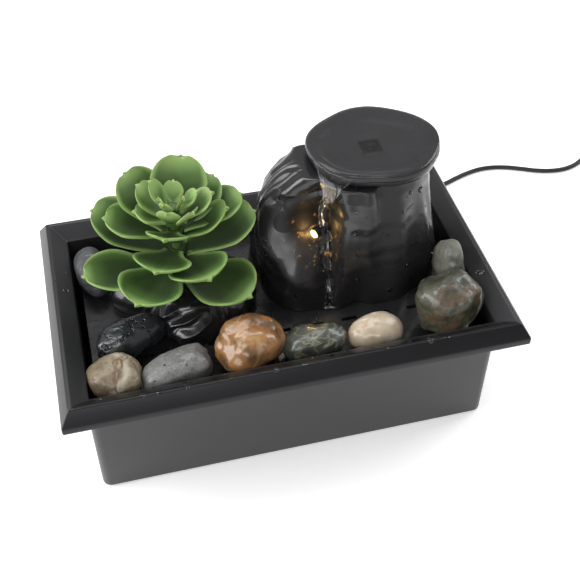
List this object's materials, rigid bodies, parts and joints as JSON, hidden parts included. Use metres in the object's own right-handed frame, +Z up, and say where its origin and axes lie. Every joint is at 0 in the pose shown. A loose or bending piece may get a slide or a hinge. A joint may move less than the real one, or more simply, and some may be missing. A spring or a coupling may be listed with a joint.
{
  "type": "tabletop water fountain",
  "caption": "Rectangular tabletop fountain: basin with lift-out deck, moulded rock that spills water, lit cave, artificial succulent, river stones and a pump.",
  "frame": {"origin": "centre of the basin's footprint, on the table", "axes": "+X to the right along the basin's long side, +Y to the back, +Z up"},
  "size_m": [0.4915, 0.2474, 0.1546],
  "materials": {
    "basin_plastic": "satin moulded",
    "deck_plastic": "satin moulded, wet",
    "rock_plastic": "gloss moulded rock texture, wet",
    "rubber_black": "matt",
    "rubber_green": "matt",
    "stainless": "plain",
    "tube_vinyl": "smooth",
    "lens_glass": "clear warm",
    "cord_rubber": "smooth satin",
    "connector_white": "smooth",
    "pump_plastic": "smooth satin",
    "dial_plastic": "smooth satin",
    "core_steel": "laminated sheets",
    "copper_wire": "enamelled",
    "impeller_plastic": "smooth",
    "magnet_ferrite": "ground",
    "ceramic_white": "ground",
    "stem_plastic": "smooth",
    "leaf_plastic": "satin, soft",
    "leaf_pale": "satin, soft",
    "plug_plastic": "fine grain",
    "plug_metal": "plated",
    "stone_1": "matt wet",
    "stone_2": "polished wet",
    "stone_3": "speckled satin",
    "stone_4": "satin",
    "stone_5": "polished, veined",
    "stone_6": "mottled satin",
    "stone_7": "polished",
    "stone_8": "rough, veined",
    "stone_9": "satin"
  },
  "bodies": {
    "basin": {"basin": "basin_plastic", "foot_pads": "rubber_black", "cord_grommet": "rubber_black", "pump_body": "pump_plastic", "stator_core": "core_steel", "stator_coil": "copper_wire", "pump_shaft": "ceramic_white", "rear_bush": "rubber_black", "suction_cups": "rubber_green", "pump_lead": "cord_rubber", "cord_lead": "cord_rubber", "cord_coil": "cord_rubber", "cord_tail": "cord_rubber", "plug_body": "plug_plastic", "plug_shell": "plug_metal"},
    "deck": {"deck_plate": "deck_plastic", "rock_column": "rock_plastic", "column_screws": "stainless", "rock_mound": "rock_plastic", "mound_screws": "stainless", "spill_dish": "rock_plastic", "dish_screws": "stainless", "riser_tube": "tube_vinyl", "lamp_holder": "rubber_black", "lamp_lens": "lens_glass", "lamp_lead": "cord_rubber", "lamp_plug": "connector_white", "plant_socket": "stem_plastic", "stone_1": "stone_1", "stone_2": "stone_2", "stone_3": "stone_3", "stone_4": "stone_4", "stone_5": "stone_5", "stone_6": "stone_6", "stone_7": "stone_7", "stone_8": "stone_8", "stone_9": "stone_9"},
    "plant": {"plant_stem": "stem_plastic", "leaves_low": "leaf_plastic", "leaves_spread": "leaf_plastic", "leaves_high": "leaf_plastic", "leaves_inner": "leaf_pale", "leaves_bud": "leaf_pale"},
    "cover": {"intake_cover": "pump_plastic", "front_bush": "rubber_black"},
    "dial": {"flow_dial": "dial_plastic"},
    "rotor": {"impeller": "impeller_plastic", "rotor_magnet": "magnet_ferrite"}
  },
  "joints": [
    {"name": "deck_lift", "type": "slide", "parent": "basin", "child": "deck", "axis": [0, 0, 1], "range_m": [0, 0.1]},
    {"name": "plant_lift", "type": "slide", "parent": "deck", "child": "plant", "axis": [0, 0, 1], "range_m": [0, 0.09]},
    {"name": "cover_pull", "type": "slide", "parent": "basin", "child": "cover", "axis": [0, -1, 0], "range_m": [0, 0.035]},
    {"name": "dial_turn", "type": "hinge", "parent": "cover", "child": "dial", "pos_m": [0.062, 0.008, 0.0318], "axis": [0, -1, 0], "range_deg": [0, 90]},
    {"name": "rotor_spin", "type": "hinge", "parent": "basin", "child": "rotor", "pos_m": [0.062, 0.02, 0.0318], "axis": [0, 1, 0], "continuous": true}
  ]
}
